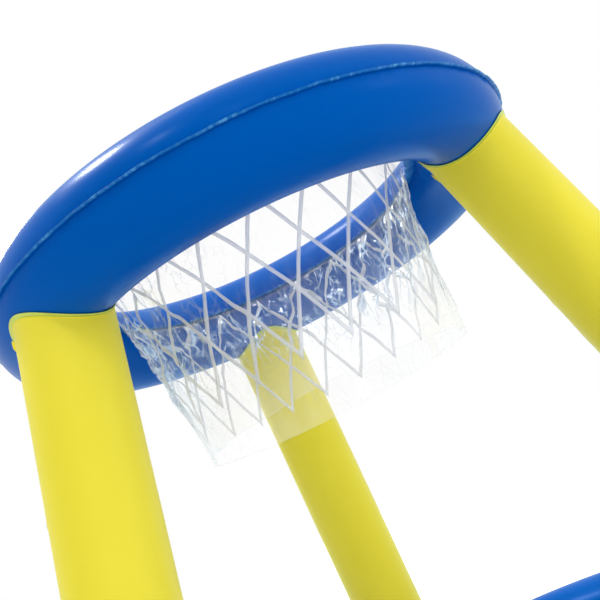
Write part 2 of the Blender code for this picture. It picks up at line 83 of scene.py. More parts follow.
NET_DEPTH = 0.151
NET_STRIP = 0.008
FIN_EDGE = RINGS["hoop"]["radius"] - RINGS["hoop"]["tube"] - RINGS["hoop"]["inner_fin"]
NET_INSET = 0.0110
NET_BODY_RADIUS = FIN_EDGE - NET_INSET
NET_TOP_FLARE = 0.0049
NET_HEM_DRAWN_IN = (0.0150, 0.0043)
NET_DRIFT_TURN = 3.55
FOLD_DEPTH = 0.0026
SIDE_FOLD_DEPTH = 0.0060
SIDE_FOLD_TURN = 15
FOLD_WAVES = ((7, 40, 1.0), (11, 110, 0.7))
SIDE_FOLD_AZIMUTHS = (8, 187)
LATTICE_COLUMNS = 20
LATTICE_ROWS = 3
LATTICE_START_TURN = 266.1
LATTICE_TOP = 0.006
LATTICE_ROW_DEPTH = 0.0385
LATTICE_TIP = 0.1264
STRAND_WIDTH = 0.0030

# The picture's camera
LENS = 46.49
CLIP_START = 0.01
SENSOR = 36.0
CAMERA_FROM_HOOP = (-0.1353, -0.6404, -0.2200)
CAMERA_RIGHT = (0.88927, -0.09009, -0.44837)
CAMERA_UP = (0.40324, -0.30802, 0.86169)
CAMERA_BACK = (-0.21574, -0.94709, -0.23760)


def make_camera():
    data = bpy.data.cameras.new("camera")
    data.lens = LENS
    data.sensor_width = SENSOR
    data.clip_start = CLIP_START
    item = add_object("camera", data)
    place = Matrix((CAMERA_RIGHT, CAMERA_UP, CAMERA_BACK)).transposed().to_4x4()
    place.translation = Vector(CAMERA_FROM_HOOP) + Vector((0, 0, RINGS["hoop"]["height"]))
    item.matrix_world = place
    bpy.context.scene.camera = item


# Helpers for node trees and meshes


def set_inputs(tree, made, inputs):
    """Sets a node's inputs. Each value is a socket to link from, or a plain value."""
    for key, value in inputs.items():
        if isinstance(value, bpy.types.NodeSocket):
            tree.links.new(value, made.inputs[key])
        else:
            made.inputs[key].default_value = value


def node(tree, kind, inputs=None, **settings):
    """Adds a node. Its inputs can depend on its settings."""
    made = tree.nodes.new(kind)
    for key, value in settings.items():
        setattr(made, key, value)
    set_inputs(tree, made, inputs or {})
    return made


def shape(tree, kind, inputs, output="Geometry", **settings):
    """What a Geometry Nodes node gives."""
    return node(tree, f"GeometryNode{kind}", inputs, **settings).outputs[output]


def maths(tree, operation, first, second=0.0, third=0.0):
    return node(tree, "ShaderNodeMath", {0: first, 1: second, 2: third}, operation=operation).outputs[0]


def product(tree, first, *factors):
    for factor in factors:
        first = maths(tree, "MULTIPLY", first, factor)
    return first


def vector_maths(tree, operation, first, second=(0, 0, 0), scale=1.0):
    made = node(tree, "ShaderNodeVectorMath", {0: first, 1: second, 3: scale}, operation=operation)
    return made.outputs[0]


def vector_number(tree, operation, first, second=(0, 0, 0)):
    """A vector operation that gives a number."""
    made = node(tree, "ShaderNodeVectorMath", {0: first, 1: second}, operation=operation)
    return made.outputs["Value"]


def scaled(tree, vector, scale):
    return vector_maths(tree, "SCALE", vector, scale=scale)


def level(tree, vector):
    """A vector without its upward part."""
    return vector_maths(tree, "MULTIPLY", vector, (1, 1, 0))


def combine(tree, **parts):
    """A vector from X, Y and Z. What isn't given is 0."""
    return node(tree, "ShaderNodeCombineXYZ", parts).outputs["Vector"]


def attribute(tree, name, output="Fac"):
    return node(tree, "ShaderNodeAttribute", attribute_name=name).outputs[output]


def noise(tree, where, scale, detail=2.0):
    inputs = {"Vector": where, "Scale": scale, "Detail": detail}
    return node(tree, "ShaderNodeTexNoise", inputs).outputs["Fac"]


def fade(tree, value, start, end, low=0.0, high=1.0):
    """A smooth step from low, at start, to high, at end."""
    inputs = {"Value": value, "From Min": start, "From Max": end, "To Min": low, "To Max": high}
    return node(tree, "ShaderNodeMapRange", inputs, interpolation_type="SMOOTHSTEP").outputs["Result"]


def blend_colours(tree, share, first, second):
    """Each colour is a socket, or red, green and blue."""
    made = node(tree, "ShaderNodeMix", {"Factor": share}, data_type="RGBA")
    ends = [index for index, item in enumerate(made.inputs) if item.type == "RGBA"]
    values = [item if isinstance(item, bpy.types.NodeSocket) else (*item, 1) for item in (first, second)]
    set_inputs(tree, made, dict(zip(ends, values)))
    return next(item for item in made.outputs if item.type == "RGBA")


def new_group(name, kind, inputs, outputs):
    """A node group from its inputs (name, type, default) and outputs: the group, its values and its end."""
    group = bpy.data.node_groups.new(name, kind)
    for label, value_type, default in inputs:
        socket = group.interface.new_socket(label, in_out="INPUT", socket_type=f"NodeSocket{value_type}")
        if default is not None:
            socket.default_value = default
    for label, value_type in outputs:
        group.interface.new_socket(label, in_out="OUTPUT", socket_type=f"NodeSocket{value_type}")
    return group, group.nodes.new("NodeGroupInput").outputs, group.nodes.new("NodeGroupOutput")


def dress(group, geometry, material, out):
    """Ends a Geometry Nodes tree: real geometry with its material."""
    whole = shape(group, "RealizeInstances", {"Geometry": geometry})
    dressed = shape(group, "SetMaterial", {"Geometry": whole, "Material": material})
    set_inputs(group, out, {"Geometry": dressed})


def shape_from_nodes(name, group, values, start=None):
    """Runs a Geometry Nodes group on a mesh, or on an empty one, and keeps the result as a plain mesh."""
    carrier = add_object(f"{name} carrier", start or bpy.data.meshes.new(f"{name} carrier"))
    change = carrier.modifiers.new(group.name, "NODES")
    change.node_group = group
    sockets = [item for item in group.interface.items_tree if item.in_out == "INPUT"]
    identifiers = {item.name: item.identifier for item in sockets}
    for label, value in values.items():
        change[identifiers[label]] = value
    graph = bpy.context.evaluated_depsgraph_get()
    mesh = bpy.data.meshes.new_from_object(carrier.evaluated_get(graph))
    mesh.name = name
    bpy.data.objects.remove(carrier)
    return mesh


def add_object(name, data):
    item = bpy.data.objects.new(name, data)
    bpy.context.scene.collection.objects.link(item)
    return item


def grid_mesh(name, rows, close_rows=False):
    """A mesh from rows of points. Each row is a closed loop, and the rows close too where asked."""
    rows = np.asarray(rows, float)
    count, width = rows.shape[:2]
    faces = []
    for i in range(count if close_rows else count - 1):
        here, there = i * width, (i + 1) % count * width
        for j in range(width):
            right = (j + 1) % width
            faces.append((here + j, here + right, there + right, there + j))
    mesh = bpy.data.meshes.new(name)
    mesh.from_pydata(rows.reshape(-1, 3).tolist(), [], faces)
    mesh.update()
    return mesh


def turn_outwards(mesh):
    """Makes a closed mesh's faces point out of it."""
    maker = bmesh.new()
    maker.from_mesh(mesh)
    bmesh.ops.recalc_face_normals(maker, faces=maker.faces[:])
    if maker.calc_volume(signed=True) < 0:
        bmesh.ops.reverse_faces(maker, faces=maker.faces[:])
    maker.to_mesh(mesh)
    maker.free()


def finish_piece(name, mesh, look, replaced, thickness=None, sharp=35):
    """Gives a mesh its material and thickness, and hides the CAD nodes that it stands for."""
    if not mesh.materials:
        mesh.materials.append(look)
    item = add_object(name, mesh)
    if thickness:
        shell = item.modifiers.new("film thickness", "SOLIDIFY")
        shell.thickness = thickness
        shell.offset = 0
        shell.use_even_offset = False
    mesh.shade_smooth()
    mesh.set_sharp_from_angle(angle=math.radians(sharp))
    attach(item, "inflated_frame")
    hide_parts(*replaced)
    return item


# Materials

BLACK = (0.0, 0.0, 0.0)
WHITE = (1.0, 1.0, 1.0)
YELLOW_SHEEN = (1.0, 0.9, 0.4)
VINYLS = {  # a dark and a light tone, roughness, specular level, tint of the face-on reflection, bump
    "blue_film": ((0.0, 0.085, 0.39), (0.0, 0.104, 0.47), 0.20, 0.05, (0.02, 0.30, 1.0), 0.03),
    "yellow_film": ((0.80, 0.69, 0.038), (0.86, 0.745, 0.054), 0.38, 0.3, YELLOW_SHEEN, 0.06),
    "yellow_lip": ((0.56, 0.66, 0.08), (0.64, 0.72, 0.12), 0.32, 0.5, YELLOW_SHEEN, 0.06),
    "valve_plastic": ((0.26, 0.36, 0.50), (0.31, 0.41, 0.54), 0.22, 0.5, WHITE, 0.02),
    "plug_plastic": ((0.40, 0.46, 0.53), (0.45, 0.51, 0.58), 0.30, 0.5, WHITE, 0.02),
}
CLOUD_SCALE = 6.0
CLOUD_DETAIL = 4.0
WAVE_DETAIL = 3.0
RELIEF_DEPTH = 0.0004

# The weld's paler tone is partly the weld's own film and partly painted highlight along the fin's edge. Its
# pale beads are painted glints.
WELD_TONE_AND_PAINTED_LIGHT = (0.006, 0.20, 0.55)
WELD_TONE_AND_PAINTED_LIGHT_SHARE = 0.45
WELD_GLOSS = 0.3
WELD_GLOSS_ROUGHNESS = 0.15
BEAD_PAINTED_GLINT_TONE = (0.10, 0.40, 0.72)
BEAD_SCALE = 70.0
BEAD_DETAIL = 3.0
BEAD_FADE = (0.45, 0.68)
PATCH_SCALE = 9.0
PATCH_FADE = (0.35, 0.7, 0.15, 1.0)

FILM_OPACITY = 0.014
FILM_EDGE_OPACITY = 0.40
FILM_EDGE_BLEND = 0.5
FILM_EDGE_POWER = 3.0
FILM_FROST = 0.012
FILM_HAZE = 0.075
PAINTED_HAZE_GLOW = (0.12, 0.10, 0.08)  # painted glow: emission that stands in for light that the hazy hem scatters
CRUMPLED_TONE = (0.80, 0.91, 1.0)
CRUMPLED_ROUGHNESS = (0.1, 0.5, 0.30, 0.12)  # the crumple amounts, and the values there
CRUMPLED_METAL = (0.1, 0.5, 0.15, 0.55)
WRINKLE_STRETCH = (1.0, 1.0, 0.35)
WRINKLE_SCALE = 210.0
WRINKLE_DETAIL = 3.0
WRINKLE_DEPTH = 0.002
WRINKLE_STRENGTH = 0.25
CREASE_OPACITY = 0.60
LARGE_FACETS = (0.0150, 0.036)  # pitch across and down
LARGE_SHIFT = 3.0
SMALL_FACETS = (0.0068, 0.013)
SMALL_SHIFT = 21.0
CREASES = (  # facets, shift and line width, and the scale and fade of the patches that show them
    (LARGE_FACETS, LARGE_SHIFT, 0.05, 70.0, (0.42, 0.68)),
    (SMALL_FACETS, SMALL_SHIFT, 0.07, 120.0, (0.50, 0.72)),
)
CREASE_PAIR_SHIFT = 57.0
SHIFT_WAY = (1.0, -0.7, 1.3)
PRINT_TONES = ((0.84, 0.85, 0.88), (0.90, 0.91, 0.93))
PRINT_ROUGHNESS = 0.38
PRINT_OPACITY = 0.52


def vinyl_grain():
    """Fine grain and soft waves of vinyl film: a height for a bump, a roughness, and a slow cloud."""
    group, given, out = new_group("vinyl grain", "ShaderNodeTree", [
        ("Grain Scale", "Float", 900.0),
        ("Grain Height", "Float", 0.3),
        ("Wave Scale", "Float", 22.0),
        ("Wave Height", "Float", 1.0),
        ("Roughness", "Float", 0.3),
        ("Roughness Spread", "Float", 0.08),
    ], [("Height", "Float"), ("Roughness", "Float"), ("Cloud", "Float")])
    where = node(group, "ShaderNodeTexCoord").outputs["Object"]
    cloud = noise(group, where, CLOUD_SCALE, CLOUD_DETAIL)
    waves = noise(group, where, given["Wave Scale"], WAVE_DETAIL)
    fine = product(group, noise(group, where, given["Grain Scale"]), given["Grain Height"])
    set_inputs(group, out, {
        "Height": maths(group, "MULTIPLY_ADD", waves, given["Wave Height"], fine),
        "Roughness": maths(group, "MULTIPLY_ADD", cloud, given["Roughness Spread"], given["Roughness"]),
        "Cloud": cloud,
    })
    return group


def new_material(name):
    made = bpy.data.materials.new(name)
    made.use_nodes = True
    return made, made.node_tree, made.node_tree.nodes["Principled BSDF"]


def vinyl(name, grain):
    """Glossy vinyl with the shared grain, and the parts that weld_beads_and_painted_glints works on."""
    dark, light, roughness, specular, tint, bump = VINYLS[name]
    made, tree, shader = new_material(name)
    group = node(tree, "ShaderNodeGroup", {"Roughness": roughness}, node_tree=grain)
    tone = blend_colours(tree, group.outputs["Cloud"], dark, light)
    relief = node(tree, "ShaderNodeBump",
                  {"Strength": bump, "Distance": RELIEF_DEPTH, "Height": group.outputs["Height"]})
    set_inputs(tree, shader, {
        "Base Color": tone,
        "Roughness": group.outputs["Roughness"],
        "Normal": relief.outputs["Normal"],
        "Specular IOR Level": specular,
        "Specular Tint": (*tint, 1),
    })
    return made, tree, shader, tone


def weld_beads_and_painted_glints(made, tree, shader, tone):
    """Adds the ring's weld to its film: a thin, paler, beaded line where the attribute marks the fin. The
    paler tone is partly painted highlight along the fin's edge, and the pale beads are painted glints.
    """
    on_fin = attribute(tree, "weld")
    where = node(tree, "ShaderNodeTexCoord").outputs["Object"]
    along = vector_maths(tree, "NORMALIZE", level(tree, where))
    # The pale beads are painted glints, and the paler fin tone is partly painted highlight.
    bead_glints = fade(tree, noise(tree, along, BEAD_SCALE, BEAD_DETAIL), *BEAD_FADE)
    patches = fade(tree, noise(tree, along, PATCH_SCALE), *PATCH_FADE)
    fin_tone_and_painted_light = blend_colours(tree, product(tree, on_fin, WELD_TONE_AND_PAINTED_LIGHT_SHARE), tone, WELD_TONE_AND_PAINTED_LIGHT)
    set_inputs(tree, shader, {
        "Base Color": blend_colours(tree, product(tree, on_fin, bead_glints, patches), fin_tone_and_painted_light, BEAD_PAINTED_GLINT_TONE),
        "Coat Weight": product(tree, on_fin, WELD_GLOSS),
        "Coat Roughness": WELD_GLOSS_ROUGHNESS,
    })
    return made


def crease_distances(tree, where, pitch, shift, feature):
    """Distances in the two cell patterns that make the facets. The shift makes a pair of them its own."""
    across, down = pitch
    pitches = vector_maths(tree, "MULTIPLY", where, (1 / across, 1 / across, 1 / down))
    found = []
    for turn in (0.0, CREASE_PAIR_SHIFT):
        place = vector_maths(tree, "ADD", pitches, tuple(part * (shift + turn) for part in SHIFT_WAY))
        cells = node(tree, "ShaderNodeTexVoronoi", {"Vector": place, "Scale": 1.0}, feature=feature)
        found.append(cells.outputs["Distance"])
    return found


def facet_height(tree, where, pitch, shift):
    """Flat facets that meet at sharp creases: the difference of squared distances to two sets of points."""
    first, second = crease_distances(tree, where, pitch, shift, "F1")
    return maths(tree, "SUBTRACT", product(tree, first, first), product(tree, second, second))


def crease_line(tree, where, pitch, shift, width):
    """1 on the creases of those facets, and 0 a little away from them."""
    edges = crease_distances(tree, where, pitch, shift, "DISTANCE_TO_EDGE")
    return maths(tree, "MAXIMUM", *(fade(tree, edge, 0.0, width, 1.0, 0.0) for edge in edges))


def patchy_creases(tree, flat, stretched):
    """The large and the small creases, each shown in patches."""
    shown = []
    for pitch, shift, width, scale, patch_fade in CREASES:
        patches = fade(tree, noise(tree, stretched, scale), *patch_fade)
        shown.append(product(tree, crease_line(tree, flat, pitch, shift, width), patches))
    return maths(tree, "MAXIMUM", *shown)


def clear_film():
    """Clear film: faint face-on, and whiter where it turns away, along its creases and towards the hem,
    where a painted glow is added too.
    """
    made, tree, shader = new_material("clear_film")
    crumpled, hanging, haze_and_painted_glow = (attribute(tree, name) for name in ("crumple", "hang", "haze_and_painted_glow"))
    flat = attribute(tree, "flat", "Vector")
    stretched = vector_maths(tree, "MULTIPLY", flat, WRINKLE_STRETCH)
    wrinkles = product(tree, noise(tree, stretched, WRINKLE_SCALE, WRINKLE_DETAIL), crumpled)
    relief = node(tree, "ShaderNodeBump",
                  {"Strength": WRINKLE_STRENGTH, "Distance": WRINKLE_DEPTH, "Height": wrinkles})
    normal = relief.outputs["Normal"]
    edge = node(tree, "ShaderNodeLayerWeight", {"Blend": FILM_EDGE_BLEND, "Normal": normal})
    turned = product(tree, maths(tree, "POWER", edge.outputs["Facing"], FILM_EDGE_POWER), FILM_EDGE_OPACITY)
    creased = product(tree, patchy_creases(tree, flat, stretched), crumpled, CREASE_OPACITY)
    hazy = maths(tree, "MULTIPLY_ADD", haze_and_painted_glow, FILM_HAZE, FILM_OPACITY)
    frost = maths(tree, "MULTIPLY_ADD", crumpled, FILM_FROST, hazy)
    opacity = maths(tree, "ADD", maths(tree, "ADD", turned, frost), creased)
    set_inputs(tree, shader, {
        "Alpha": product(tree, opacity, hanging),
        "Normal": normal,
        # Painted glow towards the hem: emission that stands in for the light the hazy film scatters.
        "Emission Color": blend_colours(tree, haze_and_painted_glow, BLACK, PAINTED_HAZE_GLOW),
        "Emission Strength": 1.0,
        "Base Color": blend_colours(tree, crumpled, WHITE, CRUMPLED_TONE),
        "Roughness": fade(tree, crumpled, *CRUMPLED_ROUGHNESS),
        "Metallic": fade(tree, crumpled, *CRUMPLED_METAL),
    })
    return made


def printed_white(grain):
    """The lattice's white print, which lets a little of what is behind it through."""
    made, tree, shader = new_material("lattice_print")
    group = node(tree, "ShaderNodeGroup", {"Roughness": PRINT_ROUGHNESS}, node_tree=grain)
    set_inputs(tree, shader, {
        "Base Color": blend_colours(tree, group.outputs["Cloud"], *PRINT_TONES),
        "Roughness": group.outputs["Roughness"],
        "Alpha": PRINT_OPACITY,
    })
    return made


# The rings

RING_ARC_STEPS = 40
RING_FIN_STEPS = 3
PUCKER_DETAIL = 1.0
RIPPLE_SCALE = 0.45
NOISE_MIDDLE = 0.5


def ring_profile(prefix, side):
    """A curve along one welded sheet's middle, round the tube's centreline: outer fin, arc, inner fin.

    The sweep turns its Y downwards. The arc's points crowd towards the welds, where the puckers are.
    """
    ring = RINGS[prefix]
    height = CLEARANCE / 2 + FILM / 2
    tube = ring["tube"] - FILM / 2
    start = math.asin(height / tube)
    turns = math.pi / 2 - (math.pi / 2 - start) * np.cos(np.linspace(0, math.pi, RING_ARC_STEPS + 1))
    fins = np.linspace(0, 1, RING_FIN_STEPS + 1)[:-1]
    outer = [(ring["tube"] + ring["outer_fin"] * (1 - share), height) for share in fins]
    arc = [(tube * math.cos(turn), tube * math.sin(turn)) for turn in turns]
    inner = [(-ring["tube"] - ring["inner_fin"] * (1 - share), height) for share in fins][::-1]
    floor = -ring["height"] + FILM / 2
    points = [(x, -max(side * y, floor)) for x, y in outer + arc + inner]
    curve = bpy.data.curves.new(f"{prefix} profile", "CURVE")
    curve.dimensions = "3D"
    spline = curve.splines.new("POLY")
    spline.points.add(len(points) - 1)
    for point, (x, y) in zip(spline.points, points):
        point.co = (x, y, 0, 1)
    return add_object(f"{prefix} profile", curve)


def ring_sheet_nodes():
    """Turns a profile round the ring's circle, with puckers across the weld on both sides of it."""
    group, given, out = new_group("ring sheet", "GeometryNodeTree", [
        ("Profile", "Object", None),
        ("Ring Radius", "Float", 0.2),
        ("Seam Height", "Float", 0.5),
        ("Steps", "Int", 600),
        ("Pucker Depth", "Float", 0.0014),
        ("Pucker Reach", "Float", 0.009),
        ("Inner Pucker Depth", "Float", 0.0036),
        ("Inner Pucker Reach", "Float", 0.017),
        ("Pucker Pitch", "Float", 0.0075),
        ("Ripple", "Float", 0.0018),
        ("Tube Radius", "Float", 0.04),
        ("Fin Start", "Float", 0.0006),
        ("Fin Full", "Float", 0.0018),
        ("Film", "Material", None),
    ], [("Geometry", "Geometry")])
    profile = shape(group, "ObjectInfo", {"Object": given["Profile"]}, transform_space="ORIGINAL")
    circle = shape(group, "CurvePrimitiveCircle",
                   {"Resolution": given["Steps"], "Radius": given["Ring Radius"]}, "Curve")
    swept = shape(group, "CurveToMesh", {"Curve": circle, "Profile Curve": profile}, "Mesh")
    place = shape(group, "InputPosition", {}, "Position")
    outwards = vector_maths(group, "NORMALIZE", level(group, place))
    away = maths(group, "ABSOLUTE", node(group, "ShaderNodeSeparateXYZ", {"Vector": place}).outputs["Z"])
    from_axis = vector_number(group, "LENGTH", level(group, place))
    outside = maths(group, "SUBTRACT", from_axis, given["Ring Radius"])
    inside = maths(group, "LESS_THAN", outside, 0.0)
    reach = maths(group, "MULTIPLY_ADD", inside, given["Inner Pucker Reach"], given["Pucker Reach"])
    deep = maths(group, "MULTIPLY_ADD", inside, given["Inner Pucker Depth"], given["Pucker Depth"])
    near = fade(group, away, 0.0, reach, 1.0, 0.0)
    pitches = maths(group, "DIVIDE", given["Ring Radius"], given["Pucker Pitch"])
    along = scaled(group, outwards, pitches)
    puckers = maths(group, "SUBTRACT", noise(group, along, 1.0, PUCKER_DETAIL), NOISE_MIDDLE)
    ripples = maths(group, "SUBTRACT", noise(group, along, RIPPLE_SCALE), NOISE_MIDDLE)
    lift = product(group, ripples, given["Ripple"])
    raised = maths(group, "MULTIPLY_ADD", lift, near, given["Seam Height"])
    pushed = scaled(group, outwards, product(group, puckers, deep, near))
    shift = vector_maths(group, "ADD", pushed, combine(group, Z=raised))
    square = maths(group, "MULTIPLY_ADD", outside, outside, product(group, away, away))
    from_core = maths(group, "SQRT", square)
    past_tube = maths(group, "SUBTRACT", from_core, given["Tube Radius"])
    on_fin = fade(group, past_tube, given["Fin Start"], given["Fin Full"])
    marked = shape(group, "StoreNamedAttribute", {"Geometry": swept, "Name": "weld", "Value": on_fin},
                   data_type="FLOAT", domain="POINT")
    dress(group, shape(group, "SetPosition", {"Geometry": marked, "Offset": shift}), given["Film"], out)
    return group


def ring_holes(prefix, half):
    """A sheet's valve hole and air ports to the legs, each as a point, a direction and a radius."""
    holes = []
    if half == "top":
        turn, tilt = math.radians(VALVE_AZIMUTHS[prefix]), math.radians(VALVE_TILT)
        out = np.array((math.cos(turn), math.sin(turn), 0))
        centre = out * RINGS[prefix]["radius"] + np.array((0, 0, RINGS[prefix]["height"]))
        holes.append((centre, out * math.sin(tilt) + np.array((0, 0, math.cos(tilt))), VALVE_HOLE_RADIUS))
    if (prefix, half) in (("hoop", "bottom"), ("base", "top")):
        for name in LEGS:
            top, bottom, along, *_ = leg_frame(name)
            holes.append((top, along, PORT_RADIUS) if prefix == "hoop" else (bottom, -along, PORT_RADIUS))
    return holes


def open_holes(mesh, holes):
    """Takes out the faces within each hole, and draws its edge to that radius."""

    def off_axis(place):
        return place - point - direction * (place - point).dot(direction)

    def within(face):
        place = face.calc_center_median()
        return (place - point).dot(direction) > 0 and off_axis(place).length < radius

    maker = bmesh.new()
    maker.from_mesh(mesh)
    for point, direction, radius in holes:
        point, direction = Vector(point), Vector(direction)
        gone = [face for face in maker.faces if within(face)]
        corners = {vertex for face in gone for vertex in face.verts}
        bmesh.ops.delete(maker, geom=gone, context="FACES")
        for vertex in corners:
            if vertex.is_valid:
                away = off_axis(vertex.co)
                vertex.co += away * (radius / away.length - 1)
    maker.to_mesh(mesh)
    maker.free()


def make_rings(look):
    sweep = ring_sheet_nodes()
    made = {}
    for prefix, ring in RINGS.items():
        for half, side in (("top", 1), ("bottom", -1)):
            profile = ring_profile(prefix, side)
            name = f"{prefix}_ring_{half}_sheet"
            mesh = shape_from_nodes(name, sweep, {
                "Profile": profile, "Ring Radius": ring["radius"], "Seam Height": ring["height"],
                "Tube Radius": ring["tube"], "Steps": ring["steps"], "Film": look,
            })
            bpy.data.objects.remove(profile)
            open_holes(mesh, ring_holes(prefix, half))
            made[name] = finish_piece(f"{name}_skin", mesh, look, [name], FILM)
    return made


# The legs

LEG_STEPS = 112
LEG_END_ROWS = (0, 0.0008, 0.0016, 0.0026, 0.0038, 0.0050)
LEG_NEAR_ROWS = (0.0125, 0.0165, 0.021, 0.026, 0.032, 0.040, 0.050, 0.062, 0.076)
LEG_MIDDLE_ROWS = 26
PUCKER_DEPTH = 0.0006
PUCKER_REACH = 0.014
PUCKER_RISE = 0.002
PUCKER_COUNTS = (9, 13, 18, 22, 29)  # waves round the leg
LEG_WAVE = 0.0003
LEG_WAVE_COUNTS = (3, 4, 5)
SLOW_WAVE_COUNTS = (2, 3)
FLARE_FALL = 2.2
SEAM_SIDES = (-1, -0.8, 0.8, 1)  # in halves of its width
SEAM_UNEVENNESS = (-0.5, 0.6)
TAB_SWELL = 1.1
LIP_COUNTS = (5, 9, 13)
LIP_WAVE = COLLAR_LIP / 12
LIP_BEVEL = COLLAR_THICKNESS * 0.35
FIRST_SEED = 11
WAVE_SEED, BASE_SEED, BEAD_SEED, SLOW_SEED = 7, 3, 11, 20  # added to a leg's own seed
SEAT_STEPS = 44  # halvings of the search for a tube's surface
SEAT_REACH = 3


def ring_gap(points, ring):
    """How far points lie outside the ring's tube."""
    flat = np.hypot(points[..., 0], points[..., 1]) - ring["radius"]
    return np.hypot(flat, points[..., 2] - ring["height"]) - ring["tube"]


def seats(starts, direction, ring, offset):
    """Where parallel lines that leave the inside of the tube pass its surface, offset outwards."""
    inside = np.zeros(starts.shape[:-1])
    outside = np.full(starts.shape[:-1], SEAT_REACH * ring["tube"])
    for _ in range(SEAT_STEPS):
        middle = (inside + outside) / 2
        within = ring_gap(starts + middle[..., None] * direction, ring) < offset
        inside = np.where(within, middle, inside)
        outside = np.where(within, outside, middle)
    return starts + inside[..., None] * direction


def leg_frame(name):
    """A leg's top and bottom points in the rings' middle planes, its direction and two cross axes."""
    azimuth, inset, *_ = LEGS[name]
    turn = math.radians(azimuth)
    out = Vector((math.cos(turn), math.sin(turn), 0))
    hoop, base = RINGS["hoop"], RINGS["base"]
    top = out * (hoop["radius"] - inset) + Vector((0, 0, hoop["height"]))
    bottom = out * base["radius"] + Vector((0, 0, base["height"]))
    along = (bottom - top).normalized()
    side = Vector((0, 0, 1)).cross(out)
    return [np.array(v) for v in (top, bottom, along, side, along.cross(side))]


def wave_noise(turns, seed, counts, amount):
    """A smooth periodic wobble round a tube."""
    source = np.random.default_rng(seed)
    total = np.zeros_like(turns)
    for count in counts:
        total += source.normal() * np.cos(count * turns + source.uniform(0, 2 * math.pi))
    return amount * total / math.sqrt(len(counts))


def leg_mesh(name, seed):
    """A leg's tube, seated on both rings and puckered there, and the side seam with its tab."""
    top, bottom, along, side, cross = leg_frame(name)
    *_, seam_turn, seam_start = LEGS[name]
    seam = math.radians(seam_turn)
    half = SEAM_WIDTH / 2 / LEG_RADIUS
    turns = seam + np.linspace(0, 2 * math.pi, LEG_STEPS + 1)[1:-1]
    turns = np.concatenate([turns, seam + 2 * math.pi + half * np.array(SEAM_SIDES)])
    on_fin = np.zeros(len(turns))
    on_fin[-3:-1] = 1  # the seam's two raised points
    ray = np.cos(turns)[:, None] * side + np.sin(turns)[:, None] * cross
    lift = COLLAR_SEAT + COLLAR_THICKNESS + CLEARANCE
    tab_end = seam_start + TAB_LENGTH
    waves = wave_noise(turns, seed + WAVE_SEED, LEG_WAVE_COUNTS, LEG_WAVE)

    def end_rows(point, direction, ring, pucker_seed, distances, fins):
        """Rows from a leg's end inwards, each seated on the ring by its own radius."""
        puckers = wave_noise(turns, pucker_seed, PUCKER_COUNTS, PUCKER_DEPTH)
        rows = []
        for distance, fin in zip(distances, fins):
            flare = LEG_FLARE * math.exp(-FLARE_FALL * distance / LEG_FLARE_LENGTH)
            swell = puckers * math.exp(-distance / PUCKER_REACH) * min(1.0, distance / PUCKER_RISE)
            wave = waves * min(1.0, distance / LEG_NEAR_ROWS[-1])
            radius = LEG_RADIUS + flare + swell + wave + on_fin * fin
            seated = seats(point + radius[:, None] * ray, direction, ring, lift)
            rows.append(seated + distance * direction)
        return rows

    tab_middle = seam_start + TAB_LENGTH / 2
    tab = (seam_start, seam_start + FILM, tab_middle, tab_end, tab_end + TAB_HEIGHT - SEAM_HEIGHT)
    tab_fins = (SEAM_END_HEIGHT, TAB_HEIGHT, TAB_HEIGHT * TAB_SWELL, TAB_HEIGHT, SEAM_HEIGHT)
    plain_top = [d for d in LEG_END_ROWS if d < seam_start]
    plain_near = [d for d in LEG_NEAR_ROWS if d > tab[-1] + LEG_FLARE]
    top_distances = plain_top + list(tab) + plain_near
    top_fins = [SEAM_END_HEIGHT] * len(plain_top) + list(tab_fins) + [SEAM_HEIGHT] * len(plain_near)
    upper = end_rows(top, along, RINGS["hoop"], seed, top_distances, top_fins)
    end_distances = list(LEG_END_ROWS) + [seam_start + LEG_FLARE_LENGTH] + plain_near
    end_fins = [SEAM_END_HEIGHT] * len(LEG_END_ROWS) + [SEAM_HEIGHT] * (1 + len(plain_near))
    lower = end_rows(bottom, -along, RINGS["base"], seed + BASE_SEED, end_distances, end_fins)[::-1]

    source = np.random.default_rng(seed + BEAD_SEED)
    middle = []
    for k in range(1, LEG_MIDDLE_ROWS):
        share = k / LEG_MIDDLE_ROWS
        swing = LEG_WAVE * math.sin(math.pi * share)
        slow = wave_noise(turns + share, seed + SLOW_SEED, SLOW_WAVE_COUNTS, swing)
        bead = on_fin * source.uniform(*SEAM_UNEVENNESS) * SEAM_HEIGHT
        row = upper[-1] + (lower[0] - upper[-1]) * share
        middle.append(row + (slow + bead)[:, None] * ray)
    inner = [end - FILM * ray - (on_fin * SEAM_END_HEIGHT)[:, None] * ray for end in (lower[-1], upper[0])]
    mesh = grid_mesh(f"leg_{name}", upper + middle + lower + inner, close_rows=True)
    turn_outwards(mesh)
    return mesh


